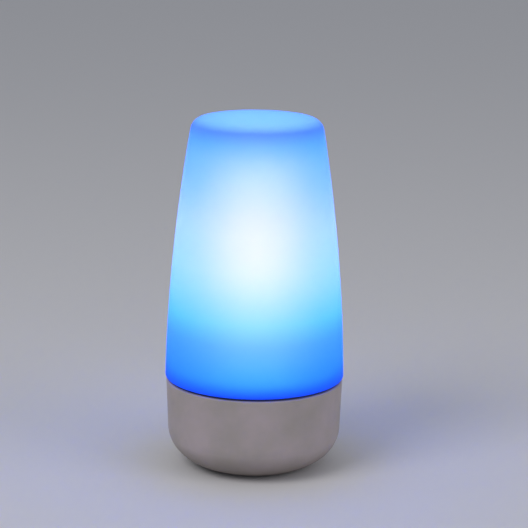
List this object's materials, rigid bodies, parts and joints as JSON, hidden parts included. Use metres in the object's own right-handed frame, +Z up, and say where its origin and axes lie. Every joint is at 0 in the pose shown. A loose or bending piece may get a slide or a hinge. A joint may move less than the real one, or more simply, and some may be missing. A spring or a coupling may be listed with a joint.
{
  "type": "smart led table lamp",
  "caption": "Cordless glowing table lamp: tapered opal shade that twists off a rounded base, with an LED column inside and a charging socket and button behind.",
  "frame": {"origin": "middle of the foot ring, on the surface that the lamp stands on", "axes": "+Z up along the lamp's axis; the front faces -Y, and the button, charging socket and charge light are at the back, towards +Y"},
  "size_m": [0.101, 0.101, 0.2],
  "materials": {
    "opal_shade": "frosted translucent white, lit azure from inside",
    "frosted_tube": "frosted translucent",
    "shell_plastic": "fine matte moulded",
    "white_plastic": "satin moulded",
    "dark_rubber": "matte",
    "pale_rubber": "matte silicone",
    "aluminium": "extruded, lightly brushed",
    "steel": "zinc plated",
    "nickel": "bright nickel plated",
    "led_board": "white solder mask with LEDs",
    "circuit_board": "green solder mask",
    "black_plastic": "satin moulded",
    "cell_wrap": "shrink wrap",
    "red_wire": "soft insulation",
    "black_wire": "soft insulation",
    "clear_plastic": "clear light pipe"
  },
  "bodies": {
    "base": {"base_shell": "shell_plastic", "bottom_plate": "shell_plastic", "foot_ring": "pale_rubber", "base_screw_1": "steel", "base_screw_2": "steel", "base_screw_3": "steel", "base_screw_4": "steel", "top_deck": "white_plastic", "reflector": "white_plastic", "reflector_screw_1": "steel", "reflector_screw_2": "steel", "reflector_screw_3": "steel", "led_column": "aluminium", "column_screw_1": "steel", "column_screw_2": "steel", "column_screw_3": "steel", "led_strip_1": "led_board", "led_strip_2": "led_board", "led_strip_3": "led_board", "led_strip_4": "led_board", "led_strip_5": "led_board", "led_strip_6": "led_board", "led_cap_board": "led_board", "light_tube": "frosted_tube", "main_board": "circuit_board", "board_screw_1": "steel", "board_screw_2": "steel", "board_screw_3": "steel", "radio_module": "nickel", "power_inductor": "black_plastic", "bulk_capacitor_1": "aluminium", "bulk_capacitor_2": "aluminium", "charge_chip": "black_plastic", "led_driver_chip": "black_plastic", "usb_socket": "nickel", "switch_body": "black_plastic", "charge_light_pipe": "clear_plastic", "battery_cell": "cell_wrap", "battery_holder": "black_plastic", "holder_screw_1": "steel", "holder_screw_2": "steel", "battery_contact_plus": "nickel", "battery_contact_minus": "nickel", "battery_lead_red": "red_wire", "battery_lead_black": "black_wire", "battery_header": "white_plastic", "battery_plug": "white_plastic", "led_header": "white_plastic", "led_plug": "white_plastic", "led_lead": "black_wire"},
    "gasket": {"rim_gasket": "dark_rubber"},
    "shade": {"shade": "opal_shade"},
    "button": {"power_button": "shell_plastic", "switch_plunger": "white_plastic"},
    "port_cover": {"port_cover": "pale_rubber"}
  },
  "joints": [
    {"name": "shade_lift", "type": "slide", "parent": "base", "child": "gasket", "axis": [0, 0, 1], "range_m": [0, 0.135]},
    {"name": "shade_twist", "type": "hinge", "parent": "gasket", "child": "shade", "pos_m": [0, 0, 0.0505], "axis": [0, 0, 1], "range_deg": [0, 36]},
    {"name": "button_press", "type": "slide", "parent": "base", "child": "button", "axis": [-0.4067, -0.9135, 0], "range_m": [0, 0.0005], "stiffness_N_per_m": 400, "springref_m": -0.0005},
    {"name": "cover_swing", "type": "hinge", "parent": "base", "child": "port_cover", "pos_m": [0, 0.04835, 0.0366], "axis": [1, 0, 0], "range_deg": [0, 90]}
  ]
}
